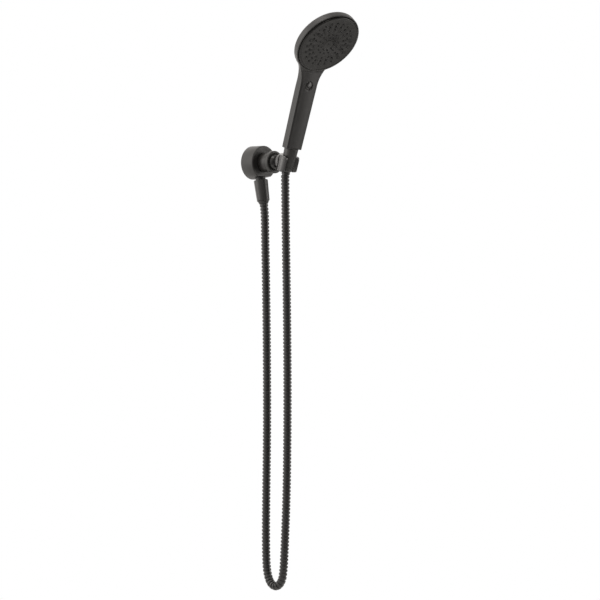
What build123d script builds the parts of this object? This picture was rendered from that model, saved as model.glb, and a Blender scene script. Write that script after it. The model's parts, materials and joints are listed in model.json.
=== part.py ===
from build123d import *
import os
from math import cos, pi, radians, sin, sqrt, tan

# A wall-mounted hand shower: wall elbow with a ball-joint cradle, metal hose and handset.
# Millimetres. The wall is the plane y = 0, the elbow stands out along -Y, and +Z is up.
# The origin is the centre of the elbow's rear face, on the wall.

# ---- driving dimensions ----

# wall elbow, measured outwards from the wall
DRUM_R = 29.5
DRUM_DEPTH = 29.0
DRUM_RIM_R = 25.0        # inner edge of the raised front rim
DRUM_FLOOR = 28.0        # floor of the dish inside the rim
INLET_R = 9.2            # minor radius of the 1/2 in pipe thread
INLET_DEPTH = 17.0
OUTLET_FROM_WALL = 14.0
OUTLET_TILT = 10.3       # degrees outwards from straight down
FACET_AT = 26.3          # flat under the drum, along the outlet axis
NIPPLE_SHOULDER = 31.5   # underside of the nipple's shoulder, where the hose nut starts

# ball joint, measured outwards from the wall
COLLAR_R = 17.1
COLLAR_THREAD_R = 16.7
COLLAR_END = 52.2
BALL_AT = 51.0
BALL_R = 14.3
SEAT_GAP = 0.1
SEAT_R = 15.5
SOCKET_R = 15.6
BALL_NUT_R = 19.8
BALL_NUT_BACK = 49.4
BALL_NUT_SHOULDER = 53.4
BALL_NUT_FRONT = 57.0
NECK_R = 9.5
BOSS_R = 11.5
BOSS_AT = 61.0
STUD_END = 68.6

# hose, nuts and end fittings
HOSE_R = 7.35
HOSE_BORE = 6.2
INNER_TUBE_BORE = 4.6
FERRULE_BORE = 4.0
NUT_LENGTH = 37.5
NUT_TOP_R = 12.5
NUT_END_R = 11.2
THREAD_R = 10.4          # 1/2 in parallel pipe thread, outside
THREAD_LENGTH = 12.0
FERRULE_END = 42.5       # hose end of a fitting, from the nut's threaded end

# cradle, along the handset's axis from the handle's lower end
LEAN = 18.7              # degrees the handset leans away from the wall
HANDSET_Y = -97.5
HANDSET_Z = 22.9
CUP_TOP = -14.0
CUP_BOTTOM = -42.3
CUP_R = 18.3
CUP_CLEARANCE = 0.3
CUP_OPENING = 54.0       # half angle of the slot that the hose passes through
SLOT_REACH = 60.0
PRONG_CORNER = 6.5

# handset: x across, y backwards, z up the handle
HANDSET_TURN = -4.3      # degrees the handset is turned in its cradle
FRONT_Y = -9.0
BEVEL = 2.5
WALL = 2.4
SIDE_BACK_Y = 7.2        # back edge of the flat sides
HANDLE_BACK_Y = 11.5
HANDLE_HALF = 15.9       # half width at the lower end
NECK_HALF = 18.0         # half width where the flare into the head starts
NECK_FILLET = 46.0       # radius of that flare, in the face's plane
HANDLE_TOP = 160.0       # the handle's solid ends inside the head
HEAD_R = 62.0
HEAD_TILT = 21.1         # degrees the spray face looks down from the handle's front
HEAD_Y = -32.0
HEAD_Z = 201.7
FACE_R = 58.8
FACE_TOP = 2.6           # the face plate stands this far in front of the rim
FACE_FOOT_Z = HEAD_Z - HEAD_R * cos(radians(HEAD_TILT))
SEAM_Y = FRONT_Y + BEVEL
NOZZLE_R = 1.25
NOZZLE_TOP = 3.8
BUTTON_Z = 117.0
BUTTON_R = 7.3
BUTTON_DISH_R = 9.2
SPOOL_R = 3.1

# hose route in the plane x = 0: (y, z) from the elbow's fitting to the handset's
LEFT_LEG = (
    (-30.4, -106.0), (-31.2, -146.0), (-33.3, -220.0), (-35.2, -330.0), (-35.9, -462.0),
    (-33.8, -572.0), (-32.7, -648.0), (-33.3, -692.0),
)
FOLD = ((-35.4, -720.0), (-43.8, -740.5), (-59.5, -748.0), (-73.4, -738.4), (-77.6, -717.5))
RIGHT_LEG = (
    (-79.7, -688.0), (-81.8, -652.0), (-84.8, -594.0), (-86.9, -510.0), (-87.6, -396.0),
    (-86.3, -270.0), (-84.2, -172.0), (-82.7, -104.0), (-82.0, -60.0), (-81.7, -36.0),
)

# ---- frames ----

WALL_FRAME = Plane(origin=(0, 0, 0), x_dir=(1, 0, 0), z_dir=(0, -1, 0)).location
OUTLET_DIR = Vector(0, -sin(radians(OUTLET_TILT)), -cos(radians(OUTLET_TILT)))
OUTLET_START = Vector(0, -OUTLET_FROM_WALL, 0)
OUTLET_FRAME = Plane(origin=OUTLET_START, x_dir=(1, 0, 0), z_dir=OUTLET_DIR).location
ELBOW_NUT_FRAME = OUTLET_FRAME * Location((0, 0, NIPPLE_SHOULDER))
CRADLE_FRAME = Location((0, HANDSET_Y, HANDSET_Z), (LEAN, 0, 0))
HANDSET_FRAME = Location((0, HANDSET_Y, HANDSET_Z), (LEAN, 0, HANDSET_TURN))
HANDSET_NUT_FRAME = CRADLE_FRAME * Location((0, 0, 0), (180, 0, 0))
HEAD_FRAME = Location((0, HEAD_Y, HEAD_Z), (90 + HEAD_TILT, 0, 0))
BUTTON_FRAME = Location((0, FRONT_Y, BUTTON_Z), (90, 0, 0))
AXIS_DIR = Vector(0, -sin(radians(LEAN)), cos(radians(LEAN)))
HANDSET_START = Vector(0, HANDSET_Y, HANDSET_Z)


# ---- small helpers ----

def turned(*points):
    """A solid of revolution about Z from its closed half outline in (radius, height)."""
    outline = Polyline(*[(r, 0, z) for r, z in points], close=True)
    return revolve(make_face(outline), Axis.Z)


def disc(radius, low, high):
    return Location((0, 0, low)) * extrude(Circle(radius), high - low)


def ring(outer, inner, low, high):
    return disc(outer, low, high) - disc(inner, low - 1, high + 1)


def torus(major, minor, height):
    return Location((0, 0, height)) * Torus(major, minor)


def block(x, y, z):
    """A box from its (low, high) pairs."""
    size = [pair[1] - pair[0] for pair in (x, y, z)]
    middle = [(pair[0] + pair[1]) / 2 for pair in (x, y, z)]
    return Location(middle) * Box(*size)


def coil(radius, wire, low, high, turns):
    """A compression spring about Z."""
    length = high - low - 2 * wire
    path = Helix(pitch=length / turns, height=length, radius=radius)
    section = Plane(path @ 0, z_dir=path % 0) * Circle(wire)
    return Location((0, 0, low + wire)) * sweep(section, path=path)


def save(shape, node):
    export_step(shape, f"parts/{node}.step")


# ---- wall elbow ----

def elbow_body():
    drum = turned(
        (0, 0), (DRUM_R, 0), (DRUM_R, DRUM_DEPTH - 1.4), (DRUM_R - 1.4, DRUM_DEPTH),
        (DRUM_RIM_R, DRUM_DEPTH), (COLLAR_R + 3, DRUM_FLOOR), (0, DRUM_FLOOR),
    )
    hollow = ring(DRUM_R - 3.5, 13.5, -1, 22)
    outlet_boss = OUTLET_FRAME * disc(12.5, 0, FACET_AT)
    in_wall = WALL_FRAME * drum
    body = WALL_FRAME * (drum - hollow) + (outlet_boss & in_wall)
    body -= OUTLET_FRAME * Location((0, 0, FACET_AT + 20)) * Box(90, 90, 40)
    body -= WALL_FRAME * (disc(INLET_R, -1, INLET_DEPTH) + disc(12.0, 20.0, 30))
    body -= WALL_FRAME * ring(DRUM_R - 0.9, DRUM_R - 3.6, -1, 1.5)
    body -= OUTLET_FRAME * (disc(5.0, 0, 17) + disc(8.5, 16, 40))
    return body


def wall_gasket():
    gasket = WALL_FRAME * ring(DRUM_R - 0.9, DRUM_R - 3.5, 0, 1.5)
    return gasket - OUTLET_FRAME * Location((0, 0, FACET_AT + 20)) * Box(90, 90, 40)


def outlet_nipple():
    end = NIPPLE_SHOULDER + THREAD_LENGTH
    return OUTLET_FRAME * turned(
        (5, 16), (8.5, 16), (8.5, FACET_AT), (8.8, FACET_AT), (8.8, NIPPLE_SHOULDER),
        (THREAD_R, NIPPLE_SHOULDER), (THREAD_R, end - 1), (THREAD_R - 1, end), (7, end), (7, 21),
        (5, 21),
    )


CHECK_TOP = 22.0
CHECK_SEAT = 24.0
CHECK_SPIDER = 37.0
CHECK_END = 40.0
STEM_R = 1.2


def check_valve_body():
    body = turned(
        (4.2, CHECK_TOP), (6.95, CHECK_TOP), (6.95, CHECK_END), (0, CHECK_END), (0, CHECK_SPIDER),
        (5.8, CHECK_SPIDER), (5.8, CHECK_SEAT), (4.2, CHECK_SEAT),
    )
    body -= disc(STEM_R + 0.1, CHECK_SPIDER - 1, CHECK_END + 1)
    for hole in PolarLocations(3.9, 4):
        body -= hole * disc(1.25, CHECK_SPIDER - 1, CHECK_END + 1)
    return OUTLET_FRAME * body


def check_valve_poppet():
    face = CHECK_SEAT + 0.1
    return OUTLET_FRAME * turned(
        (0, face), (5.2, face), (5.2, face + 1.4), (2.2, face + 2.2), (STEM_R, face + 2.2),
        (STEM_R, CHECK_SPIDER + 0.3), (0, CHECK_SPIDER + 0.3),
    )


def check_valve_spring():
    return OUTLET_FRAME * coil(2.7, 0.35, CHECK_SEAT + 2.5, CHECK_SPIDER - 0.05, 5)


# ---- ball joint ----

def collar():
    outer = turned(
        (0, 20.2), (12.0, 20.2), (12.0, DRUM_FLOOR), (COLLAR_R - 1.2, DRUM_FLOOR),
        (COLLAR_R, DRUM_FLOOR + 3.6), (COLLAR_R, BALL_NUT_BACK - 1.2),
        (COLLAR_R - 0.4, BALL_NUT_BACK - 0.4), (COLLAR_THREAD_R, BALL_NUT_BACK - 0.4),
        (COLLAR_THREAD_R, COLLAR_END), (0, COLLAR_END),
    )
    socket = Location((0, 0, BALL_AT)) * Sphere(SOCKET_R)
    return WALL_FRAME * (outer - socket - disc(SOCKET_R, BALL_AT, BALL_NUT_FRONT) - disc(6, 22, 40))


def ball_nut():
    nut = turned(
        (0, BALL_NUT_BACK), (BALL_NUT_R - 0.8, BALL_NUT_BACK), (BALL_NUT_R, BALL_NUT_BACK + 0.8),
        (BALL_NUT_R, BALL_NUT_FRONT - 1.8), (BALL_NUT_R - 0.6, BALL_NUT_FRONT - 0.6),
        (BALL_NUT_R - 1.8, BALL_NUT_FRONT), (0, BALL_NUT_FRONT),
    )
    nut -= disc(COLLAR_THREAD_R, BALL_NUT_BACK - 1, BALL_NUT_SHOULDER)
    nut -= Location((0, 0, BALL_AT)) * Sphere(SOCKET_R)
    nut -= turned(
        (0, BALL_NUT_FRONT - 1.1), (14.7, BALL_NUT_FRONT - 1.1), (17.2, BALL_NUT_FRONT + 0.1),
        (0, BALL_NUT_FRONT + 0.1),
    )
    return WALL_FRAME * nut


def friction_ring():
    return WALL_FRAME * torus(16.12, 0.55, 52.8)


def seat(first, last):
    """Part of a spherical shell about the ball, between two angles from the outward axis."""
    inner = BALL_R + SEAT_GAP
    angles = [radians(first), radians(last)]
    middle = sum(angles) / 2
    corner = [(r * sin(a), 0, r * cos(a)) for r in (inner, SEAT_R) for a in angles]
    bend = [(r * sin(middle), 0, r * cos(middle)) for r in (inner, SEAT_R)]
    outline = [
        ThreePointArc(corner[0], bend[0], corner[1]),
        Line(corner[1], corner[3]),
        ThreePointArc(corner[3], bend[1], corner[2]),
        Line(corner[2], corner[0]),
    ]
    return WALL_FRAME * Location((0, 0, BALL_AT)) * revolve(make_face(outline), Axis.Z)


def swivel_ball():
    ball = Location((0, 0, BALL_AT)) * Sphere(BALL_R) - disc(BALL_R, BOSS_AT, BOSS_AT + 10)
    neck = disc(NECK_R, BALL_AT, BOSS_AT)
    stud = disc(5.0, BOSS_AT, STUD_END)
    return WALL_FRAME * (ball + neck + stud - disc(2.5, 57, 70))


# ---- cradle ----

def nut_radius(z):
    """Outside of the conical hose nut, z below the handle's lower end."""
    return NUT_TOP_R + (NUT_TOP_R - NUT_END_R) * z / NUT_LENGTH


def rounded_prongs():
    """Side view of the cup, with the front corners of its two prongs rounded off."""
    front = -CUP_R * cos(radians(CUP_OPENING))
    place = Plane.YZ * Location((front + 40, (CUP_TOP + CUP_BOTTOM) / 2, 0))
    outline = place * RectangleRounded(80, CUP_TOP - CUP_BOTTOM, PRONG_CORNER)
    return extrude(outline, 40, both=True)


def cradle():
    cylinder = turned(
        (0, CUP_BOTTOM), (CUP_R - 1, CUP_BOTTOM), (CUP_R, CUP_BOTTOM + 1), (CUP_R, CUP_TOP - 1),
        (CUP_R - 1, CUP_TOP), (0, CUP_TOP),
    )
    cup = CRADLE_FRAME * (cylinder & rounded_prongs())
    boss = WALL_FRAME * turned(
        (0, BOSS_AT), (BOSS_R - 1.2, BOSS_AT), (BOSS_R, BOSS_AT + 1.2), (BOSS_R, BOSS_AT + 4),
        (BOSS_R + 3, BOSS_AT + 11), (BOSS_R + 3, BOSS_AT + 16), (0, BOSS_AT + 16),
    )
    bore = CRADLE_FRAME * turned(
        (0, CUP_BOTTOM - 1), (nut_radius(CUP_BOTTOM - 1) + CUP_CLEARANCE, CUP_BOTTOM - 1),
        (nut_radius(CUP_TOP + 12) + CUP_CLEARANCE, CUP_TOP + 12), (0, CUP_TOP + 12),
    )
    half = radians(CUP_OPENING)
    wedge = Polyline(
        (0, 0), (SLOT_REACH * sin(half), -SLOT_REACH * cos(half)),
        (-SLOT_REACH * sin(half), -SLOT_REACH * cos(half)), close=True,
    )
    slot = CRADLE_FRAME * Location((0, 0, CUP_BOTTOM - 1)) * extrude(make_face(wedge), 40)
    body = cup + boss - bore - slot
    return body - WALL_FRAME * (disc(5.0, BOSS_AT - 1, STUD_END) + disc(2.5, 60, 80) + disc(4.6, 73, 90))


def cradle_screw():
    screw = turned((0, 58), (2.5, 58), (2.5, 73), (4.6, 73), (4.6, 75.0), (4.2, 75.4), (0, 75.4))
    return WALL_FRAME * (screw - Location((0, 0, 74)) * extrude(RegularPolygon(2.0, 6), 3))


# ---- hose and its fittings ----

def hose_nut():
    """Conical nut, its threaded end at 0 and its hose end at NUT_LENGTH."""
    return turned(
        (THREAD_R, 0), (NUT_TOP_R - 0.6, 0), (NUT_TOP_R, 0.6), (NUT_END_R, NUT_LENGTH - 0.8),
        (NUT_END_R - 0.8, NUT_LENGTH), (7.6, NUT_LENGTH), (7.6, 16.6), (9.6, 16.6),
        (9.6, THREAD_LENGTH), (THREAD_R, THREAD_LENGTH),
    )


def hose_ferrule():
    """Swivelling end fitting: a flange held by the nut, and the crimped sleeve outside it."""
    return turned(
        (FERRULE_BORE, 14.0), (9.3, 14.0), (9.3, 16.3), (7.3, 16.3), (7.3, NUT_LENGTH + 0.3),
        (9.5, NUT_LENGTH + 0.3), (9.5, NUT_LENGTH + 1.2), (7.7, FERRULE_END),
        (FERRULE_BORE, FERRULE_END),
    )


def hose_washer():
    return ring(9.3, 5.0, THREAD_LENGTH + 0.05, 13.7)


def hose_points():
    """Corners of the hose's route, from the elbow's fitting round to the handset's."""
    start = OUTLET_START + OUTLET_DIR * (NIPPLE_SHOULDER + FERRULE_END)
    end = HANDSET_START - AXIS_DIR * FERRULE_END
    first = start + OUTLET_DIR * 12.0
    last = end - AXIS_DIR * 7.6
    corners = [start, first, *[Vector(0, y, z) for y, z in LEFT_LEG + FOLD + RIGHT_LEG], last, end]
    return corners


def hose_radii(points):
    """Each corner's radius: 0.45 of its shorter run, over the tangent of half its turn."""
    radii = []
    for before, here, after in zip(points, points[1:], points[2:]):
        turn = (here - before).get_angle(after - here)
        shorter = min((here - before).length, (after - here).length)
        radii.append(0.45 * shorter / tan(radians(turn) / 2))
    return radii


def hose_tube(path, outer, inner):
    start = Plane(origin=path @ 0, z_dir=path % 0)
    return sweep(start * (Circle(outer) - Circle(inner)), path=path)


# ---- handset ----

def handle_half_width(height):
    """The handle's outline from the front: straight, then an arc that meets the head's circle."""
    centre_x = NECK_HALF + NECK_FILLET
    start = sqrt((HEAD_R + NECK_FILLET) ** 2 - centre_x**2)
    touch = start * HEAD_R / (HEAD_R + NECK_FILLET)
    tilt = radians(HEAD_TILT)
    below = (HEAD_Z - height) * cos(tilt) + (FRONT_Y - HEAD_Y) * sin(tilt)
    if below >= start:
        straight = HEAD_Z - (start - (FRONT_Y - HEAD_Y) * sin(tilt)) / cos(tilt)
        return HANDLE_HALF + (NECK_HALF - HANDLE_HALF) * height / straight
    if below > touch:
        return centre_x - sqrt(NECK_FILLET**2 - (start - below) ** 2)
    return sqrt(HEAD_R**2 - below**2) - 0.3


def handle_section(height, inset):
    """One cross-section of the handle: flat bevelled front, flat sides, rounded back.

    Towards the head the section leans back until it is square to the spray face.
    """
    rise = max(0.0, (height - 100) / (HANDLE_TOP - 100))
    slope = tan(radians(HEAD_TILT * min(1.0, max(0.0, (height - 105) / 40))))
    past_foot = max(0.0, height - FACE_FOOT_Z)
    half = handle_half_width(height) - inset
    side = SIDE_BACK_Y - 12.2 * rise**2.6 - inset / 2
    back = HANDLE_BACK_Y - 5.2 * rise**2 - inset
    front = FRONT_Y - past_foot * 0.24 + inset
    bevel = BEVEL - inset / 2
    left = [(-half, side), (-half, front + bevel), (-half + bevel, front)]
    right = [(half - bevel, front), (half, front + bevel), (half, side)]
    outline = [Vector(x, y, height + (y - FRONT_Y) * slope) for x, y in left + right]
    crest = Vector(0, back, height + (back - FRONT_Y) * slope)
    sides = Polyline(*outline)
    rear = ThreePointArc(outline[-1], crest, outline[0])
    return make_face([sides, rear])


def handle_solid(inset=0.0):
    heights = [0, 40, 80, 105, 112, 117, 121, 125, 129, 133, 136, 139, 142, 145, 148, 151, 154, 157]
    heights.append(HANDLE_TOP)
    return loft([handle_section(height, inset) for height in heights], ruled=True)


def head_outside():
    return HEAD_FRAME * turned(
        (0, 0), (HEAD_R - 1.2, 0), (HEAD_R - 0.3, -0.5), (HEAD_R, -1.6), (HEAD_R, -9.5),
        (HEAD_R - 1.4, -13.0), (HEAD_R - 5.5, -16.5), (HEAD_R - 14, -19.6), (HEAD_R - 30, -22.6),
        (0, -25.5),
    )


def head_hollow():
    return HEAD_FRAME * turned(
        (0, 1), (59.8, 1), (59.8, -3.6), (58.2, -3.6), (58.2, -11.5), (55.0, -14.6), (47.0, -17.4),
        (31.0, -20.2), (0, -23.0),
    )


FACE_SCREWS = PolarLocations(25.75, 3, start_angle=90)
PLATE_BACK = -9.4


def back_shell():
    rear_half = handle_solid() & block((-70, 70), (SEAM_Y, 40), (-1, 180))
    shell = rear_half + head_outside()
    inside = handle_solid(WALL) & block((-70, 70), (-40, 40), (3, 180))
    shell -= inside + head_hollow()
    shell -= disc(6.1, -1, 4)
    for place in FACE_SCREWS:
        boss = disc(3.6, -22.0, PLATE_BACK - 0.2) - disc(1.5, -18, PLATE_BACK)
        shell += HEAD_FRAME * place * boss
    return HANDSET_FRAME * shell


def front_cover():
    cover = handle_solid() & block((-70, 70), (-40, SEAM_Y), (-1, 180))
    cover -= head_outside() + HEAD_FRAME * disc(FACE_R + 0.4, 0, FACE_TOP + 6)
    hole = BUTTON_R + 0.3
    cover -= BUTTON_FRAME * turned(
        (0, 1), (BUTTON_DISH_R + 1, 1), (BUTTON_DISH_R, 0), (hole, -1.2), (hole, -5), (0, -5),
    )
    return HANDSET_FRAME * cover


def inlet_connector():
    return HANDSET_FRAME * turned(
        (6.2, -THREAD_LENGTH), (THREAD_R - 1, -THREAD_LENGTH), (THREAD_R, -THREAD_LENGTH + 1),
        (THREAD_R, -0.05), (6.0, -0.05), (6.0, 14), (TUBE_R + 0.1, 14),
        (TUBE_R + 0.1, TUBE_START - 0.1), (TUBE_BORE, TUBE_START - 0.1), (TUBE_BORE, -1), (6.2, -1),
    )


INLET_AXIS_Z = -12.8     # the head's water inlet runs along its face, this far behind the rim
TUBE_R = 2.9
TUBE_BORE = 2.1
TUBE_START = 5.0
TUBE_BACK = 1.8          # the tube moves back this far before it bends into the head


def tube_path():
    """Up the handle, then along the back of the head into its inlet."""
    slope = tan(radians(HEAD_TILT))
    behind = INLET_AXIS_Z / cos(radians(HEAD_TILT))
    corner = (0, TUBE_BACK, HEAD_Z + (HEAD_Y - behind - TUBE_BACK) / slope)
    end = HEAD_FRAME * Location((0, -38.0, INLET_AXIS_Z))
    return FilletPolyline((0, 0, TUBE_START), (0, 0, 60), corner, end.position, radius=25)


def along_tube(radius):
    section = Plane(origin=(0, 0, TUBE_START), z_dir=(0, 0, 1)) * Circle(radius)
    return sweep(section, path=tube_path())


def water_tube():
    housing = block((-7, 7), (-4.4, 6.0), (BUTTON_Z - 9, BUTTON_Z + 9))
    valve_bore = BUTTON_FRAME * disc(SPOOL_R + 0.08, -14.0, 0)
    return HANDSET_FRAME * (along_tube(TUBE_R) + housing - along_tube(TUBE_BORE) - valve_bore)


def flow_restrictor():
    return HANDSET_FRAME * ring(6.1, 1.6, -6.0, -1.6)


def filter_screen():
    screen = disc(4.9, THREAD_LENGTH + 0.3, THREAD_LENGTH + 0.9)
    for place in GridLocations(1.6, 1.6, 5, 5):
        screen -= place * disc(0.45, THREAD_LENGTH, THREAD_LENGTH + 2)
    return HANDSET_NUT_FRAME * screen


def mode_button():
    cap = turned(
        (0, -0.4), (3.5, -0.5), (BUTTON_R - 1.0, -0.9), (BUTTON_R, -1.7), (BUTTON_R, -3.0),
        (BUTTON_R - 1.2, -3.0), (BUTTON_R - 1.2, -2.2), (SPOOL_R, -2.2), (SPOOL_R, -2.9), (0, -2.9),
    )
    return HANDSET_FRAME * BUTTON_FRAME * cap


def valve_spool():
    spool = turned(
        (0, -2.9), (SPOOL_R, -2.9), (SPOOL_R, -8.6), (2.2, -8.6), (2.2, -9.6), (SPOOL_R, -9.6),
        (SPOOL_R, -11.0), (0, -11.0),
    )
    return HANDSET_FRAME * BUTTON_FRAME * spool


def spool_seal():
    return HANDSET_FRAME * BUTTON_FRAME * torus(2.66, 0.44, -9.1)


def button_spring():
    return HANDSET_FRAME * BUTTON_FRAME * coil(4.6, 0.25, -4.55, -2.25, 2)


# Rings of nozzles about the face's centre: radius, how many, and the first one's angle.
NOZZLE_RINGS = ((13.5, 10, -3.0), (20.5, 14, 14.5), (31.0, 14, 16.0), (38.0, 20, 4.0), (45.0, 22, 10.5))


def nozzle_places():
    places = [Location((0, 0, 0))]
    for radius, count, first in NOZZLE_RINGS:
        places += list(PolarLocations(radius, count, start_angle=first))
    return places


def nozzle_rods(radius, low, high):
    """One rod at each nozzle, along the face's normal."""
    return [place * disc(radius, low, high) for place in nozzle_places()]


def spray_faceplate():
    plate = turned(
        (0, 0.4), (FACE_R - 2.4, 0.4), (FACE_R - 2.4, -3.4), (FACE_R, -3.4), (FACE_R, FACE_TOP - 1.2),
        (FACE_R - 1.2, FACE_TOP), (0, FACE_TOP),
    )
    return HANDSET_FRAME * HEAD_FRAME * (plate - nozzle_rods(NOZZLE_R + 0.25, -1, 5))


def nozzle_mat():
    mat = disc(54.0, -3.4, 0.4) - disc(51.0, -4, -1.6)
    mat = mat + nozzle_rods(2.2, -3.4, -1.0) + nozzle_rods(NOZZLE_R, -3.4, NOZZLE_TOP)
    return HANDSET_FRAME * HEAD_FRAME * (mat - nozzle_rods(0.5, -4, 5))


def distribution_plate():
    plate = turned(
        (0, PLATE_BACK), (57.8, PLATE_BACK), (57.8, -7.8), (56.4, -7.8), (56.4, -6.2), (57.8, -6.2),
        (57.8, -5.0), (0, -5.0),
    )
    for place in FACE_SCREWS:
        plate -= place * (disc(1.7, -12, -4) + disc(3.2, -7.3, -4))
    plate -= nozzle_rods(0.8, PLATE_BACK - 1, -5)
    inlet = block((-6.5, 6.5), (-46, -26), (INLET_AXIS_Z - 4.0, PLATE_BACK))
    plate += inlet - block((-3, 3), (-38, -29), (INLET_AXIS_Z, PLATE_BACK + 1))
    return HANDSET_FRAME * (HEAD_FRAME * plate - along_tube(TUBE_R + 0.02))


def face_screws():
    screw = turned((0, -17.5), (1.45, -17.5), (1.45, -7.3), (3.0, -7.3), (3.0, -5.4), (0, -5.4))
    group = [place * screw for place in FACE_SCREWS]
    return HANDSET_FRAME * HEAD_FRAME * Compound(group)


def head_seal():
    return HANDSET_FRAME * HEAD_FRAME * torus(57.25, 0.78, -7.0)


def bezel_ring():
    return HANDSET_FRAME * HEAD_FRAME * ring(58.1, 54.2, -5.0, -3.5)


# ---- write every node ----

os.makedirs("parts", exist_ok=True)

save(elbow_body(), "elbow_body")
save(wall_gasket(), "wall_gasket")
save(outlet_nipple(), "outlet_nipple")
save(check_valve_body(), "check_valve_body")
save(check_valve_poppet(), "check_valve_poppet")
save(check_valve_spring(), "check_valve_spring")
save(collar(), "collar")
save(ball_nut(), "ball_nut")
save(friction_ring(), "friction_ring")
save(seat(108, 146), "rear_seat")
save(seat(70, 88), "front_seat")
save(swivel_ball(), "swivel_ball")
save(cradle(), "cradle")
save(cradle_screw(), "cradle_screw")

for end, frame in (("elbow", ELBOW_NUT_FRAME), ("handset", HANDSET_NUT_FRAME)):
    save(frame * hose_nut(), f"hose_nut_{end}")
    save(frame * hose_ferrule(), f"hose_ferrule_{end}")
    save(frame * hose_washer(), f"hose_washer_{end}")

route = hose_points()
radii = hose_radii(route)
hose_path = FilletPolyline(*route, radius=radii)
jacket = hose_tube(hose_path, HOSE_R, HOSE_BORE)
save(jacket, "hose_jacket")
save(hose_tube(hose_path, HOSE_BORE - 0.1, INNER_TUBE_BORE), "hose_inner_tube")
section_area = pi * (HOSE_R**2 - HOSE_BORE**2)
print("hose radii:", " ".join(f"{r:.0f}" for r in radii))
print(f"hose length {hose_path.length:.1f} mm, section x length {section_area * hose_path.length:.0f} mm3,"
      f" jacket volume {jacket.volume:.0f} mm3")

save(back_shell(), "back_shell")
save(front_cover(), "front_cover")
save(inlet_connector(), "inlet_connector")
save(water_tube(), "water_tube")
save(flow_restrictor(), "flow_restrictor")
save(filter_screen(), "filter_screen")
save(mode_button(), "mode_button")
save(valve_spool(), "valve_spool")
save(spool_seal(), "spool_seal")
save(button_spring(), "button_spring")
save(spray_faceplate(), "spray_faceplate")
save(nozzle_mat(), "nozzle_mat")
save(distribution_plate(), "distribution_plate")
save(face_screws(), "face_screws")
save(head_seal(), "head_seal")
save(bezel_ring(), "bezel_ring")
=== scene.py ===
import json
from math import asin, atan2, ceil, cos, floor, pi, radians, sin, sqrt, tan

import bmesh
import bpy
from mathutils import Matrix, Vector


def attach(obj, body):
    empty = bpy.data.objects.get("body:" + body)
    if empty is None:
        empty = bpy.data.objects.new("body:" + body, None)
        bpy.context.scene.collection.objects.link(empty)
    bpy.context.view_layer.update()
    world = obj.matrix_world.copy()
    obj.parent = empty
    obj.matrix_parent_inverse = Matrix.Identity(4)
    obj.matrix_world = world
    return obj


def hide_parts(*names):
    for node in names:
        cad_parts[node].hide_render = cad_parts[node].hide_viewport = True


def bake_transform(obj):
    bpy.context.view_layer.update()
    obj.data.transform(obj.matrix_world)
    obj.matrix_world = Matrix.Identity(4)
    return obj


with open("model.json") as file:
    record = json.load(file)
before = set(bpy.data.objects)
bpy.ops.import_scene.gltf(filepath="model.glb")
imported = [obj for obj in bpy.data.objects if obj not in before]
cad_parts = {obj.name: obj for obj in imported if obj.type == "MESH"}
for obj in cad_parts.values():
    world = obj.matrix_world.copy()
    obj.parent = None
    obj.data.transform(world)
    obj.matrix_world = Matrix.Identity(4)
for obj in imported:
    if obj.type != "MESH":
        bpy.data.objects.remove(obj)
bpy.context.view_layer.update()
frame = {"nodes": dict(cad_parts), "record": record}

# A hand shower in the ball-jointed cradle of its wall elbow, with the hose that joins them.
# Metres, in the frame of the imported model: the wall is y = 0, the elbow stands out along -Y.

MM = 0.001
nodes = frame["nodes"]
record = frame["record"]
scene = bpy.context.scene

# ---- driving values: the placing and the hose in metres and radians, the handset in millimetres ----

LEAN = radians(18.7)
TURN = radians(-4.3)
HANDSET_START = Vector((0, -0.0975, 0.0229))
OUTLET_TILT = radians(10.3)
OUTLET_START = Vector((0, -0.014, 0))
HOSE_START = 0.074       # from the outlet's start to the hose's end in its fitting
HOSE_END = 0.0425        # from the handle's lower end to the hose's other end
HOSE_R = 0.00735

HEAD_R = 62.0
HEAD_TILT = 21.1         # degrees the spray face leans forward of the handle
HEAD_Y = -32.0
HEAD_Z = 201.7
RIM_BACK = -9.5
DOME_BACK = -25.5
RIM_EDGE = 1.1           # radius of the rim's front edge
GROOVE_R = 59.8          # outer wall of the groove round the face plate
GROOVE_FLOOR = -3.4
FACE_R = 58.8
FACE_TOP = 2.6
FACE_EDGE = 2.0          # radius of the face plate's edge
FACE_STEP = 0.4          # how far the face lies below the plate's raised border
FRONT_Y = -9.0
BEVEL = 2.5
FRONT_CROWN = 1.1        # how far the front cover falls away from its middle to its bevels
SEAM_Y = FRONT_Y + BEVEL
SEAM_GAP = 0.12          # half the width of the line between the shell and the front cover
SIDE_BACK_Y = 7.2
SIDE_SWEEP = 12.2        # how far the side's back edge runs forward by the handle's top
HANDLE_BACK_Y = 11.5
BACK_SWEEP = 5.2         # how far the back's crest runs forward by the handle's top
SWEEP_FROM = 100.0
HANDLE_HALF = 15.9
NECK_HALF = 18.0
NECK_FILLET = 46.0
HANDLE_TOP = 160.0
LEAN_FROM = 105.0        # from here the sections lean back, to lie along the head
LEAN_OVER = 40.0
SECTION_STEP = 1.6
FACE_FOOT_Z = HEAD_Z - HEAD_R * cos(radians(HEAD_TILT))
BUTTON_Z = 117.0
BUTTON_HOLE_R = 7.55
BUTTON_DISH_R = 9.2

CRADLE_TURN = Matrix.Translation(HANDSET_START) @ Matrix.Rotation(LEAN, 4, "X")
HANDSET = CRADLE_TURN @ Matrix.Rotation(TURN, 4, "Z")
MILLIMETRES = Matrix.Scale(MM, 4)
HANDSET_MM = HANDSET @ MILLIMETRES
HEAD_MM = HANDSET_MM @ Matrix.Translation((0, HEAD_Y, HEAD_Z)) @ Matrix.Rotation(
    radians(90 + HEAD_TILT), 4, "X"
)


# ---- small helpers ----

def add_object(name, data):
    obj = bpy.data.objects.new(name, data)
    scene.collection.objects.link(obj)
    return obj


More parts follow.
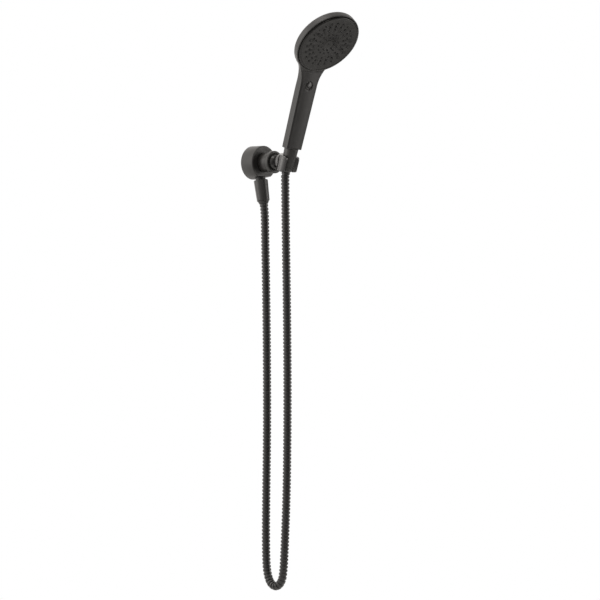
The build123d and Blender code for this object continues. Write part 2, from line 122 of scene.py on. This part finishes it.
def shade(mesh, sharp):
    """Smooth shading, with edges over the angle in degrees kept sharp."""
    mesh.polygons.foreach_set("use_smooth", [True] * len(mesh.polygons))
    mesh.set_sharp_from_angle(angle=radians(sharp))


def finish_mesh(name, bm, placement=None, sharp=38):
    """Turns a bmesh into a smooth-shaded object."""
    bmesh.ops.recalc_face_normals(bm, faces=bm.faces)
    if placement is not None:
        bm.transform(placement)
    mesh = bpy.data.meshes.new(name)
    bm.to_mesh(mesh)
    bm.free()
    shade(mesh, sharp)
    return add_object(name, mesh)


def apply_modifiers(obj):
    """Keeps the result of an object's modifiers as its mesh."""
    graph = bpy.context.evaluated_depsgraph_get()
    mesh = bpy.data.meshes.new_from_object(obj.evaluated_get(graph))
    obj.modifiers.clear()
    obj.data = mesh


def join_loops(bm, loops):
    """Adds the faces between closed loops of the same number of points."""
    for low, high in zip(loops, loops[1:]):
        for k in range(len(low)):
            after = (k + 1) % len(low)
            bm.faces.new((low[k], low[after], high[after], high[k]))


def lathe(bm, outline, steps, place=None):
    """Adds the surface of revolution about Z of an open outline of (radius, height)."""
    place = place or Matrix.Identity(4)
    turns = [2 * pi * k / steps for k in range(steps)]
    rings = []
    for radius, height in outline:
        if radius < 1e-6:
            points = [Vector((0, 0, height))]
        else:
            points = [Vector((radius * cos(t), radius * sin(t), height)) for t in turns]
        rings.append([bm.verts.new(place @ point) for point in points])
    for low, high in zip(rings, rings[1:]):
        for k in range(steps):
            after = (k + 1) % steps
            below = [low[k % len(low)], low[after % len(low)]]
            above = [high[after % len(high)], high[k % len(high)]]
            bm.faces.new(list(dict.fromkeys(below + above)))


def rounded(corners, radii, steps=4):
    """A polyline's points with its inner corners replaced by arcs of the given radii."""
    points = [corners[0]]
    for before, here, after, radius in zip(corners, corners[1:], corners[2:], radii):
        if radius <= 0:
            points.append(here)
            continue
        back = (before - here).normalized()
        ahead = (after - here).normalized()
        half = back.angle(ahead) / 2
        reach = min(radius / tan(half), 0.45 * (before - here).length, 0.45 * (after - here).length)
        centre = here + (back + ahead).normalized() * (reach / cos(half))
        first = here + back * reach - centre
        last = here + ahead * reach - centre
        for k in range(steps + 1):
            points.append(centre + first.slerp(last, k / steps))
    points.append(corners[-1])
    return points


# ---- camera ----

VIEW_AZIMUTH = radians(-44.0)
VIEW_ELEVATION = radians(-2.0)   # negative looks down on the object
VIEW_WIDTH = 1.056       # the width the frame covers at the object
CAMERA_DISTANCE = 40.0   # far off with a long lens, so the view is nearly parallel
SENSOR = 36.0
FRAME_RIGHT = 0.0827     # the frame's centre from the origin, to the right and down
FRAME_DOWN = 0.2411


def add_camera():
    right = Vector((cos(VIEW_AZIMUTH), sin(VIEW_AZIMUTH), 0))
    level = Vector((-right.y, right.x, 0))
    forward = level * cos(VIEW_ELEVATION) - Vector((0, 0, sin(VIEW_ELEVATION)))
    up = right.cross(forward)
    centre = right * FRAME_RIGHT - up * FRAME_DOWN
    camera = bpy.data.cameras.new("view_camera")
    camera.sensor_width = SENSOR
    camera.lens = SENSOR * CAMERA_DISTANCE / VIEW_WIDTH
    camera.clip_end = 100.0
    obj = add_object("view_camera", camera)
    turn = Matrix((right, up, -forward)).transposed().to_4x4()
    obj.matrix_world = Matrix.Translation(centre - forward * CAMERA_DISTANCE) @ turn
    scene.camera = obj


add_camera()


# ---- materials ----

def new_material(name):
    material = bpy.data.materials.new(name)
    material.use_nodes = True
    tree = material.node_tree
    shader = tree.nodes["Principled BSDF"]
    coords = tree.nodes.new("ShaderNodeTexCoord")
    return material, tree, shader, coords


NOISE_LOW = 0.3          # the middle range of a noise, which spreads over the whole colour or sheen
NOISE_HIGH = 0.7
BROAD_NOISE = 35.0       # scale of the mottling, per metre
TONE_CHANGE = 0.12       # how much lighter or darker the mottling makes a colour
SHEEN_DOWN = 0.03        # how much the roughness varies with it
SHEEN_UP = 0.04


def noise(tree, coords, scale, detail=2.0, roughness=0.5):
    node = tree.nodes.new("ShaderNodeTexNoise")
    node.inputs["Scale"].default_value = scale
    node.inputs["Detail"].default_value = detail
    node.inputs["Roughness"].default_value = roughness
    tree.links.new(coords.outputs["Object"], node.inputs["Vector"])
    return node


def colour_spread(tree, source, dark, light):
    ramp = tree.nodes.new("ShaderNodeValToRGB")
    ramp.color_ramp.elements[0].position = NOISE_LOW
    ramp.color_ramp.elements[0].color = (*dark, 1)
    ramp.color_ramp.elements[1].position = NOISE_HIGH
    ramp.color_ramp.elements[1].color = (*light, 1)
    tree.links.new(source, ramp.inputs["Fac"])
    return ramp


def value_spread(tree, source, low, high):
    spread = tree.nodes.new("ShaderNodeMapRange")
    spread.inputs["From Min"].default_value = NOISE_LOW
    spread.inputs["From Max"].default_value = NOISE_HIGH
    spread.inputs["To Min"].default_value = low
    spread.inputs["To Max"].default_value = high
    tree.links.new(source, spread.inputs["Value"])
    return spread


def bump(tree, shader, source, distance):
    node = tree.nodes.new("ShaderNodeBump")
    node.inputs["Distance"].default_value = distance
    node.inputs["Strength"].default_value = 1.0
    tree.links.new(source, node.inputs["Height"])
    tree.links.new(node.outputs["Normal"], shader.inputs["Normal"])


def coated(name, colour, rough, grain, depth=0.00002, metallic=0.0, specular=0.5):
    """Painted, coated or moulded surface: a fine grain, broad mottling and slight wear of its sheen."""
    material, tree, shader, coords = new_material(name)
    broad = noise(tree, coords, BROAD_NOISE, 3.0)
    fine = noise(tree, coords, grain, 2.0, 0.6)
    dark = [c * (1 - TONE_CHANGE) for c in colour]
    light = [c * (1 + TONE_CHANGE) for c in colour]
    base = colour_spread(tree, broad.outputs["Fac"], dark, light)
    tree.links.new(base.outputs["Color"], shader.inputs["Base Color"])
    sheen = value_spread(tree, broad.outputs["Fac"], rough - SHEEN_DOWN, rough + SHEEN_UP)
    tree.links.new(sheen.outputs["Result"], shader.inputs["Roughness"])
    bump(tree, shader, fine.outputs["Fac"], depth)
    shader.inputs["Metallic"].default_value = metallic
    shader.inputs["Specular IOR Level"].default_value = specular
    return material


BLACK = (0.0130, 0.0124, 0.0117)

# The record's material slots: name, colour, roughness, grain's scale, then its depth, metallic and specular.
MATERIALS = {
    "coated_metal": coated("elbow_coat", (0.0105, 0.0100, 0.0095), 0.45, 2400.0),
    "coated_nipple": coated("nipple_coat", (0.008, 0.008, 0.0075), 0.5, 2400.0),
    "coated_collar": coated("collar_coat", BLACK, 0.40, 2400.0),
    "coated_ball_nut": coated("ball_nut_coat", BLACK, 0.40, 2400.0),
    "coated_ball": coated("ball_coat", (0.009, 0.009, 0.0085), 0.22, 2600.0),
    "coated_cradle": coated("cradle_coat", (0.0150, 0.0145, 0.0150), 0.24, 2400.0, specular=0.8),
    "coated_nut": coated("nut_coat", BLACK, 0.34, 2600.0),
    "coated_ferrule": coated("ferrule_coat", (0.012, 0.0115, 0.011), 0.34, 2600.0),
    "hose_strip": coated("hose_strip_coat", (0.0065, 0.0062, 0.0062), 0.27, 2600.0),
    "hose_liner": coated("liner", (0.5, 0.5, 0.48), 0.55, 1500.0),
    "handset_shell": coated("shell_plastic", BLACK, 0.43, 2200.0, 0.00003),
    "handset_front": coated("front_plastic", (0.0095, 0.0090, 0.0085), 0.38, 2200.0, 0.00003),
    "button_cap": coated("button_plastic", (0.012, 0.0115, 0.011), 0.2, 2200.0),
    "spray_face": coated("face_plastic", (0.0060, 0.0056, 0.0052), 0.27, 2200.0, 0.00001, specular=0.30),
    "bezel_plastic": coated("bezel_plastic", (0.006, 0.006, 0.006), 0.25, 2600.0),
    "nozzle_rubber": coated("nozzle_silicone", (0.0055, 0.0053, 0.0051), 0.5, 1800.0),
    "grey_plastic": coated("inner_plastic", (0.28, 0.28, 0.27), 0.5, 1500.0),
    "green_plastic": coated("restrictor_plastic", (0.1, 0.32, 0.18), 0.45, 1500.0),
    "white_acetal": coated("white_acetal", (0.74, 0.74, 0.72), 0.4, 1500.0),
    "grey_acetal": coated("seat_acetal", (0.02, 0.02, 0.02), 0.4, 1500.0),
    "black_rubber": coated("seal_rubber", (0.012, 0.012, 0.012), 0.7, 1500.0),
    "spring_steel": coated("spring_steel", (0.6, 0.59, 0.57), 0.25, 4000.0, 0.000005, 1.0),
    "zinc_screw": coated("screw_steel", (0.5, 0.5, 0.49), 0.32, 4000.0, 0.000005, 1.0),
}


def give(obj, material):
    obj.data.materials.clear()
    obj.data.materials.append(material)


for part in record["subparts"]:
    node = nodes[part["node"]]
    for place in node.material_slots:
        place.material = MATERIALS[part["material_slot"]]


# ---- hose ----

# Corners of the hose's route in the plane x = 0, as (y, z): the elbow's leg, the fold, the handset's leg.
LEFT_LEG = (
    (-0.0304, -0.106), (-0.0312, -0.146), (-0.0333, -0.220), (-0.0352, -0.330), (-0.0359, -0.462),
    (-0.0338, -0.572), (-0.0327, -0.648), (-0.0333, -0.692),
)
FOLD = ((-0.0354, -0.720), (-0.0438, -0.7405), (-0.0595, -0.748), (-0.0734, -0.7384), (-0.0776, -0.7175))
RIGHT_LEG = (
    (-0.0797, -0.688), (-0.0818, -0.652), (-0.0848, -0.594), (-0.0869, -0.510), (-0.0876, -0.396),
    (-0.0863, -0.270), (-0.0842, -0.172), (-0.0827, -0.104), (-0.0820, -0.060), (-0.0817, -0.036),
)
PITCH = 0.00635          # from one ring of the hose to the next
GROOVE = 0.0014          # depth between the rings
RING_STEPS = 32          # points round the hose
# One ring's outline: share of the pitch, and share of the groove's depth that it stands out.
RING_OUTLINE = (
    (0.0, 0.0), (0.14, 0.0), (0.165, 0.15), (0.185, 0.8), (0.215, 0.96), (0.26, 1.0), (0.5, 1.0),
    (0.74, 1.0), (0.785, 0.96), (0.815, 0.8), (0.835, 0.15), (0.86, 0.0),
)
# Heights on the handset's leg where the hose passes from one moving body to the next, from below.
SPANS = (
    ("hose_pan_span", "wall_elbow", "ball_pan", -0.3755, -0.2860),
    ("hose_tilt_span", "ball_pan", "ball_tilt", -0.2860, -0.1965),
    ("hose_roll_span", "ball_tilt", "cradle_arm", -0.1965, -0.1070),
    ("hose_lift_span", "cradle_arm", "hose_end", -0.1070, None),
)


def hose_route():
    """The route's points, from the elbow's fitting to the handset's."""
    down = Vector((0, -sin(OUTLET_TILT), -cos(OUTLET_TILT)))
    axis = Vector((0, -sin(LEAN), cos(LEAN)))
    start = OUTLET_START + down * HOSE_START
    end = HANDSET_START - axis * HOSE_END
    middle = [Vector((0, y, z)) for y, z in LEFT_LEG + FOLD + RIGHT_LEG]
    return [start, start + down * 0.012, *middle, end - axis * 0.0076, end]


def spline_points(route):
    """Points along the route's own smooth curve."""
    curve = bpy.data.curves.new("hose_line", "CURVE")
    curve.dimensions = "3D"
    spline = curve.splines.new("NURBS")
    spline.points.add(len(route) - 1)
    for point, place in zip(spline.points, route):
        point.co = (*place, 1)
    spline.order_u = 3
    spline.use_endpoint_u = True
    spline.resolution_u = 40
    line = add_object("hose_line", curve)
    bpy.context.view_layer.update()
    graph = bpy.context.evaluated_depsgraph_get()
    mesh = bpy.data.meshes.new_from_object(line.evaluated_get(graph))
    points = [v.co.copy() for v in mesh.vertices]
    bpy.data.objects.remove(line)
    bpy.data.curves.remove(curve)
    bpy.data.meshes.remove(mesh)
    return points


class Line:
    """A polyline that can be asked for the place and direction at a distance along it."""

    def __init__(self, points):
        self.points = points
        self.at = [0.0]
        for a, b in zip(points, points[1:]):
            self.at.append(self.at[-1] + (b - a).length)
        self.length = self.at[-1]

    def index(self, distance):
        low, high = 0, len(self.at) - 2
        while low < high:
            middle = (low + high + 1) // 2
            if self.at[middle] <= distance:
                low = middle
            else:
                high = middle - 1
        return low

    def place(self, distance):
        k = self.index(distance)
        share = (distance - self.at[k]) / (self.at[k + 1] - self.at[k])
        return self.points[k].lerp(self.points[k + 1], share)

    def direction(self, distance):
        before = self.place(max(0.0, distance - 0.001))
        after = self.place(min(self.length, distance + 0.001))
        return (after - before).normalized()


def ring_radius(distance):
    """Outside radius at a distance along the hose."""
    phase = distance / PITCH % 1.0
    outline = RING_OUTLINE + ((1.0, 0.0),)
    for (low, inner), (high, outer) in zip(outline, outline[1:]):
        if phase <= high:
            break
    stand = inner + (outer - inner) * (phase - low) / (high - low)
    return HOSE_R - GROOVE * (1 - stand)


def ring_distances(first, last):
    """Distances along the hose of every loop of points between two ends."""
    between = []
    for pitch in range(floor(first / PITCH), ceil(last / PITCH) + 1):
        for share, _ in RING_OUTLINE:
            distance = (pitch + share) * PITCH
            if first + 0.00005 < distance < last - 0.00005:
                between.append(distance)
    return [first, *between, last]


def hose_mesh(name, line, first, last):
    """The ringed hose between two distances along the line."""
    across = Vector((1, 0, 0))
    turns = [2 * pi * k / RING_STEPS for k in range(RING_STEPS)]
    bm = bmesh.new()
    loops = []
    for distance in ring_distances(first, last):
        place = line.place(distance)
        side = across.cross(line.direction(distance))
        radius = ring_radius(distance)
        loops.append([bm.verts.new(place + (across * cos(t) + side * sin(t)) * radius) for t in turns])
    join_loops(bm, loops)
    return finish_mesh(name, bm, sharp=45)


def distance_at_height(line, height):
    """How far along the handset's leg the line passes a height."""
    k = len(line.points) - 1
    while line.points[k - 1].z > height:
        k -= 1
    share = (height - line.points[k - 1].z) / (line.points[k].z - line.points[k - 1].z)
    return line.at[k - 1] + share * (line.at[k] - line.at[k - 1])


def make_hose():
    line = Line(spline_points(hose_route()))
    pieces = []
    ends = [distance_at_height(line, low) for _, _, _, low, _ in SPANS] + [line.length]
    main = hose_mesh("hose_main", line, 0.0, ends[0])
    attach(main, "wall_elbow")
    pieces.append((main, 0.0, ends[0]))
    for (name, below, above, low, high), first, last in zip(SPANS, ends, ends[1:]):
        span = hose_mesh(name, line, first, last)
        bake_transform(span)
        pieces.append((span, first, last))
    for piece, first, last in pieces:
        give(piece, MATERIALS["hose_strip"])
        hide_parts("hose_jacket", "hose_inner_tube")


make_hose()


# ---- handset ----

def handle_half_width(height):
    """The handle's outline from the front: straight, then an arc that meets the head's circle."""
    centre_x = NECK_HALF + NECK_FILLET
    start = sqrt((HEAD_R + NECK_FILLET) ** 2 - centre_x**2)
    touch = start * HEAD_R / (HEAD_R + NECK_FILLET)
    tilt = radians(HEAD_TILT)
    below = (HEAD_Z - height) * cos(tilt) + (FRONT_Y - HEAD_Y) * sin(tilt)
    if below >= start:
        straight = HEAD_Z - (start - (FRONT_Y - HEAD_Y) * sin(tilt)) / cos(tilt)
        return HANDLE_HALF + (NECK_HALF - HANDLE_HALF) * height / straight
    if below > touch:
        return centre_x - sqrt(NECK_FILLET**2 - (start - below) ** 2)
    return sqrt(HEAD_R**2 - below**2) - 0.3


def handle_sizes(height, inset):
    """Half width, and the y of the side's back edge, the back's crest and the front, at a height."""
    rise = max(0.0, (height - SWEEP_FROM) / (HANDLE_TOP - SWEEP_FROM))
    past_foot = max(0.0, height - FACE_FOOT_Z)
    half = handle_half_width(height) - inset
    side = SIDE_BACK_Y - SIDE_SWEEP * rise**2.6 - inset / 2
    back = HANDLE_BACK_Y - BACK_SWEEP * rise**2 - inset
    front = FRONT_Y - 0.24 * past_foot + inset
    return half, side, back, front


def back_section(height, inset):
    """The rear half of a section, from the seam round the back to the seam."""
    half, side, back, front = handle_sizes(height, inset)
    drop = back - side
    radius = (half**2 + drop**2) / (2 * drop)
    reach = asin(min(1.0, half / radius))
    arc = []
    for k in range(1, 16):
        angle = -reach + 2 * reach * k / 16
        arc.append(Vector((radius * sin(angle), back - radius + radius * cos(angle))))
    seam = SEAM_Y + SEAM_GAP
    corners = [Vector((-half + 0.6, seam)), Vector((-half, seam)), Vector((-half, side)), *arc]
    corners += [Vector((half, side)), Vector((half, seam)), Vector((half - 0.6, seam))]
    radii = [0.3, 0.9] + [0] * len(arc) + [0.9, 0.3]
    return rounded(corners, radii)


def front_section(height, inset):
    """The front part of a section: the flat front and its two bevels."""
    half, side, back, front = handle_sizes(height, inset)
    seam = SEAM_Y - SEAM_GAP
    shoulder = min(front + BEVEL, seam - 0.02)
    corners = [Vector((-half + 0.6, seam)), Vector((-half, seam)), Vector((-half, shoulder - 0.02))]
    across = half - BEVEL
    for k in range(-6, 7):
        corners.append(Vector((across * k / 6, front + FRONT_CROWN * (k / 6) ** 2)))
    corners += [Vector((half, shoulder - 0.02)), Vector((half, seam)), Vector((half - 0.6, seam))]
    radii = [0.15, 0.5, 0.7] + [0] * 11 + [0.7, 0.5, 0.15]
    return rounded(corners, radii)


def skin(section):
    """A closed shell through the handle's sections, rounded over at its lower end."""
    levels = [(0.0, 0.9), (0.12, 0.5), (0.45, 0.15), (0.9, 0.0)]
    first = 2.5
    count = int((HANDLE_TOP - first) / SECTION_STEP)
    levels += [(first + (HANDLE_TOP - first) * k / count, 0.0) for k in range(count + 1)]
    bm = bmesh.new()
    loops = []
    for height, inset in levels:
        slope = tan(radians(HEAD_TILT * min(1.0, max(0.0, (height - LEAN_FROM) / LEAN_OVER))))
        points = [(p.x, p.y, height + (p.y - FRONT_Y) * slope) for p in section(height, inset)]
        loops.append([bm.verts.new(point) for point in points])
    join_loops(bm, loops)
    bm.faces.new(list(reversed(loops[0])))
    bm.faces.new(loops[-1])
    return bm


def head_outline():
    """Half outline of the head's shell: the groove's wall, the rim's front edge, the side, the dome."""
    dome = []
    for k in range(1, 25):
        angle = pi / 2 * k / 24
        dome.append((HEAD_R * cos(angle), RIM_BACK + (DOME_BACK - RIM_BACK) * sin(angle)))
    dome[-1] = (0.0, DOME_BACK)
    edge = [
        (GROOVE_R, GROOVE_FLOOR), (GROOVE_R, -0.5), (GROOVE_R + 0.15, -0.15), (GROOVE_R + 0.5, 0.0),
        (HEAD_R - RIM_EDGE, 0.0),
    ]
    for k in range(7):
        angle = pi / 2 * (1 - k / 6)
        edge.append((HEAD_R - RIM_EDGE + RIM_EDGE * cos(angle), -RIM_EDGE + RIM_EDGE * sin(angle)))
    return edge + [(HEAD_R, -4.0), (HEAD_R, RIM_BACK)] + dome


def make_handset():
    back = finish_mesh("handle_back", skin(back_section), HANDSET_MM)
    bm = bmesh.new()
    lathe(bm, head_outline(), 160)
    lathe(bm, [(GROOVE_R, GROOVE_FLOOR), (58.0, GROOVE_FLOOR), (0.0, GROOVE_FLOOR)], 160)
    head = finish_mesh("spray_head", bm, HEAD_MM)
    front = finish_mesh("handle_front", skin(front_section), HANDSET_MM)
    cut_button_dish(front)
    finish_handset_pieces((back, "handset_shell"), (head, "handset_shell"), (front, "handset_front"))
    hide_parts("back_shell")
    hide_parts("back_shell")
    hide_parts("front_cover")


def finish_handset_pieces(*pieces):
    """Lets pieces move with the handset, and gives each its slot's finish."""
    for piece, slot in pieces:
        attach(piece, "handset")
        give(piece, MATERIALS[slot])


def cut_button_dish(front):
    """Cuts the button's round dish and its hole out of the front of the handle."""
    dish = BUTTON_DISH_R
    hole = BUTTON_HOLE_R
    outline = [
        (0.0, 2.0), (dish + 1.6, 2.0), (dish + 0.3, 0.12), (dish - 0.3, -0.2), (dish - 1.0, -0.75),
        (hole + 0.25, -1.15), (hole, -1.5), (hole, -2.2), (0.0, -2.2),
    ]
    bm = bmesh.new()
    place = HANDSET_MM @ Matrix.Translation((0, FRONT_Y, BUTTON_Z)) @ Matrix.Rotation(radians(90), 4, "X")
    lathe(bm, outline, 72, place)
    cutter = finish_mesh("dish_cutter", bm)
    cut = front.modifiers.new("dish", "BOOLEAN")
    cut.operation = "DIFFERENCE"
    cut.solver = "EXACT"
    cut.object = cutter
    apply_modifiers(front)
    front.data.set_sharp_from_angle(angle=radians(38))
    bpy.data.objects.remove(cutter)


make_handset()


# ---- spray face ----

NOZZLE_TOP = 3.8
# Rings of nozzles about the face's centre: radius, how many, and the first one's angle.
NOZZLE_RINGS = ((13.5, 10, -3.0), (20.5, 14, 14.5), (31.0, 14, 16.0), (38.0, 20, 4.0), (45.0, 22, 10.5))
FLUTES = 20
FLUTE_TURN = 4.0
FLUTE_DEPTH = 0.4
FLUTE_FROM = 26.0
FLUTE_TO = 52.0


def nozzle_places():
    places = [(0.0, 0.0)]
    for radius, count, first in NOZZLE_RINGS:
        for k in range(count):
            angle = radians(first + 360 * k / count)
            places.append((radius * cos(angle), radius * sin(angle)))
    return places


def face_outline():
    """Half outline of the face plate: rounded edge, a fine step inside it, and the flat."""
    low = FACE_TOP - FACE_STEP
    high = FACE_TOP - 0.05
    edge = [(FACE_R, -3.3), (FACE_R, FACE_TOP - FACE_EDGE)]
    for k in range(1, 11):
        angle = pi / 2 * k / 10
        radius = FACE_R - FACE_EDGE + FACE_EDGE * cos(angle)
        edge.append((radius, FACE_TOP - FACE_EDGE + FACE_EDGE * sin(angle)))
    step = [(55.9, FACE_TOP), (55.6, FACE_TOP - 0.1), (55.3, FACE_TOP - 0.35), (55.0, low)]
    flat = [(54.0 - 1.5 * k, low) for k in range(20)]
    boss = [(9.6, low), (9.2, low + 0.1), (8.8, high - 0.05), (8.4, high), (4.0, high), (0.0, high)]
    return edge + step + flat + boss


def flute_depth(radius, angle):
    """Depth of the shallow radial flutes that the outer nozzles stand in."""
    if not FLUTE_FROM < radius < FLUTE_TO:
        return 0.0
    along = sin(pi * (radius - FLUTE_FROM) / (FLUTE_TO - FLUTE_FROM)) ** 0.6
    across = (0.5 + 0.5 * cos(FLUTES * (angle - radians(FLUTE_TURN)))) ** 2
    return FLUTE_DEPTH * along * across


def nozzle_outline():
    """Half outline of one nozzle: its collar on the face, its tapered tip and its hole."""
    base = FACE_TOP - FACE_STEP
    return [
        (2.3, base), (2.25, base + 0.28), (1.9, base + 0.4), (1.5, base + 0.5), (1.32, base + 0.9),
        (1.2, NOZZLE_TOP - 0.15), (1.05, NOZZLE_TOP), (0.6, NOZZLE_TOP), (0.5, NOZZLE_TOP - 0.2),
        (0.5, base), (0.0, base),
    ]


def make_face():
    bm = bmesh.new()
    lathe(bm, face_outline(), 240)
    for vert in bm.verts:
        if vert.co.z > 0:
            vert.co.z -= flute_depth(vert.co.xy.length, atan2(vert.co.y, vert.co.x))
    face = finish_mesh("spray_face", bm, HEAD_MM, sharp=50)
    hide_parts("spray_faceplate")
    bm = bmesh.new()
    for x, y in nozzle_places():
        lathe(bm, nozzle_outline(), 14, Matrix.Translation((x, y, 0)))
    nozzles = finish_mesh("nozzles", bm, HEAD_MM, sharp=60)
    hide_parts("nozzle_mat")
    finish_handset_pieces((face, "spray_face"), (nozzles, "nozzle_rubber"))


make_face()


# ---- edges of the turned and cast pieces, softened ----

EDGE_ANGLE = 35.0        # degrees: sharper edges than this are rounded
EDGE_SEGMENTS = 3
# Nodes whose edges are rounded, and the width of that rounding.
SOFT_EDGES = {
    "elbow_body": 0.0005,
    "collar": 0.0004,
    "ball_nut": 0.0004,
    "cradle": 0.0006,
    "hose_nut_elbow": 0.0003,
    "hose_nut_handset": 0.0003,
    "hose_ferrule_elbow": 0.0003,
    "hose_ferrule_handset": 0.0003,
    "mode_button": 0.0003,
}


def softened(node, width):
    """A copy of a model node with its edges rounded, which stands for the node."""
    bm = bmesh.new()
    bm.from_mesh(nodes[node].data)
    bmesh.ops.remove_doubles(bm, verts=bm.verts, dist=0.000002)
    bmesh.ops.dissolve_limit(bm, angle_limit=radians(0.6), verts=bm.verts, edges=bm.edges)
    mesh = bpy.data.meshes.new(node + "_shown")
    bm.to_mesh(mesh)
    bm.free()
    piece = add_object(node + "_shown", mesh)
    bevel = piece.modifiers.new("edges", "BEVEL")
    bevel.width = width
    bevel.segments = EDGE_SEGMENTS
    bevel.limit_method = "ANGLE"
    bevel.angle_limit = radians(EDGE_ANGLE)
    apply_modifiers(piece)
    shade(piece.data, EDGE_ANGLE)
    body = next(name for name, held in record["behaviour"]["bodies"].items() if node in held)
    slot = next(part["material_slot"] for part in record["subparts"] if part["node"] == node)
    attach(piece, body)
    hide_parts(node)
    give(piece, MATERIALS[slot])


for node, width in SOFT_EDGES.items():
    softened(node, width)


# ---- springs, shown by copies of their model nodes ----

def sprung(node):
    """A copy of a spring that stands for it, in place of the model's node."""
    piece = add_object(node + "_shown", nodes[node].data.copy())
    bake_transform(piece)
    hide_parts(node)
    give(piece, MATERIALS["spring_steel"])


def along(node, axis):
    """The two ends of a node along an axis, as points in the shared frame."""
    source = nodes[node]
    corners = [source.matrix_world @ vert.co for vert in source.data.vertices]
    middle = sum(corners, Vector()) / len(corners)
    reach = [(corner - middle).dot(axis) for corner in corners]
    return tuple(middle + axis * min(reach)), tuple(middle + axis * max(reach))


button_axis = HANDSET.to_3x3() @ Vector((0, -1, 0))
valve_axis = Vector((0, -sin(OUTLET_TILT), -cos(OUTLET_TILT)))
for node, fixed, moving, axis in (
    ("button_spring", "handset", "spray_button", button_axis),
    ("check_valve_spring", "wall_elbow", "check_poppet", -valve_axis),
):
    sprung(node)


# ---- floor and light ----

FLOOR_Z = -0.82
FLOOR_R = 1.15


def add_floor():
    """A plain pale disc under the object."""
    bm = bmesh.new()
    lathe(bm, [(FLOOR_R, FLOOR_Z), (0.6, FLOOR_Z), (0.0, FLOOR_Z)], 96)
    floor_piece = finish_mesh("floor", bm, sharp=180)
    material, tree, shader, coords = new_material("pale_floor")
    mottle = noise(tree, coords, 3.0)
    base = colour_spread(tree, mottle.outputs["Fac"], (0.80, 0.80, 0.79), (0.83, 0.83, 0.82))
    tree.links.new(base.outputs["Color"], shader.inputs["Base Color"])
    shader.inputs["Roughness"].default_value = 0.9
    shader.inputs["Specular IOR Level"].default_value = 0.1
    give(floor_piece, material)


BRIGHT_SIDE = (-0.34, 0.85, 0.40)
DIM_LIGHT = 0.32         # strength of the surroundings in front of the object
BRIGHT_LIGHT = 1.5       # and on the bright side
WARM = (1.0, 0.965, 0.93)
LIGHT_TARGET = Vector((0, -0.09, -0.05))
# Name, azimuth from the camera's own, elevation, distance, size and power.
LIGHTS = (
    ("left_light", -80, 18, 1.8, (0.9, 1.8), 8.5),
    ("right_light", 92, 8, 1.8, (1.0, 1.8), 14),
    ("top_light", -30, 75, 2.0, (1.2, 0.8), 8),
    ("glint_light", 27, 32, 1.8, (0.25, 0.25), 3),
)


def add_light(name, azimuth, elevation, distance, size, power):
    """A rectangular soft light that shines on the target."""
    turn = VIEW_AZIMUTH + radians(azimuth)
    level = cos(radians(elevation))
    towards = Vector((sin(turn) * level, -cos(turn) * level, sin(radians(elevation))))
    lamp = bpy.data.lights.new(name, "AREA")
    lamp.shape = "RECTANGLE"
    lamp.size = size[0]
    lamp.size_y = size[1]
    lamp.energy = power
    lamp.color = WARM
    obj = add_object(name, lamp)
    obj.location = LIGHT_TARGET + towards * distance
    obj.rotation_euler = (-towards).to_track_quat("-Z", "Y").to_euler()


def add_world():
    """White all round to the eye. As light it is bright behind the object and dimmer in front."""
    world = bpy.data.worlds.new("studio")
    scene.world = world
    world.use_nodes = True
    tree = world.node_tree
    tree.nodes.clear()
    coords = tree.nodes.new("ShaderNodeTexCoord")
    facing = tree.nodes.new("ShaderNodeVectorMath")
    facing.operation = "DOT_PRODUCT"
    facing.inputs[1].default_value = BRIGHT_SIDE
    tree.links.new(coords.outputs["Generated"], facing.inputs[0])
    spread = tree.nodes.new("ShaderNodeMapRange")
    spread.interpolation_type = "SMOOTHSTEP"
    spread.inputs["From Min"].default_value = -0.5
    spread.inputs["From Max"].default_value = 0.8
    spread.inputs["To Min"].default_value = DIM_LIGHT
    spread.inputs["To Max"].default_value = BRIGHT_LIGHT
    tree.links.new(facing.outputs["Value"], spread.inputs["Value"])
    lit = tree.nodes.new("ShaderNodeBackground")
    lit.inputs["Color"].default_value = (*WARM, 1)
    tree.links.new(spread.outputs["Result"], lit.inputs["Strength"])
    seen = tree.nodes.new("ShaderNodeBackground")
    seen.inputs["Color"].default_value = (1, 1, 1, 1)
    path = tree.nodes.new("ShaderNodeLightPath")
    pick = tree.nodes.new("ShaderNodeMixShader")
    tree.links.new(path.outputs["Is Camera Ray"], pick.inputs["Fac"])
    tree.links.new(lit.outputs["Background"], pick.inputs[1])
    tree.links.new(seen.outputs["Background"], pick.inputs[2])
    out = tree.nodes.new("ShaderNodeOutputWorld")
    tree.links.new(pick.outputs["Shader"], out.inputs["Surface"])


add_floor()
add_world()
for light in LIGHTS:
    add_light(*light)
scene.view_settings.view_transform = "Standard"
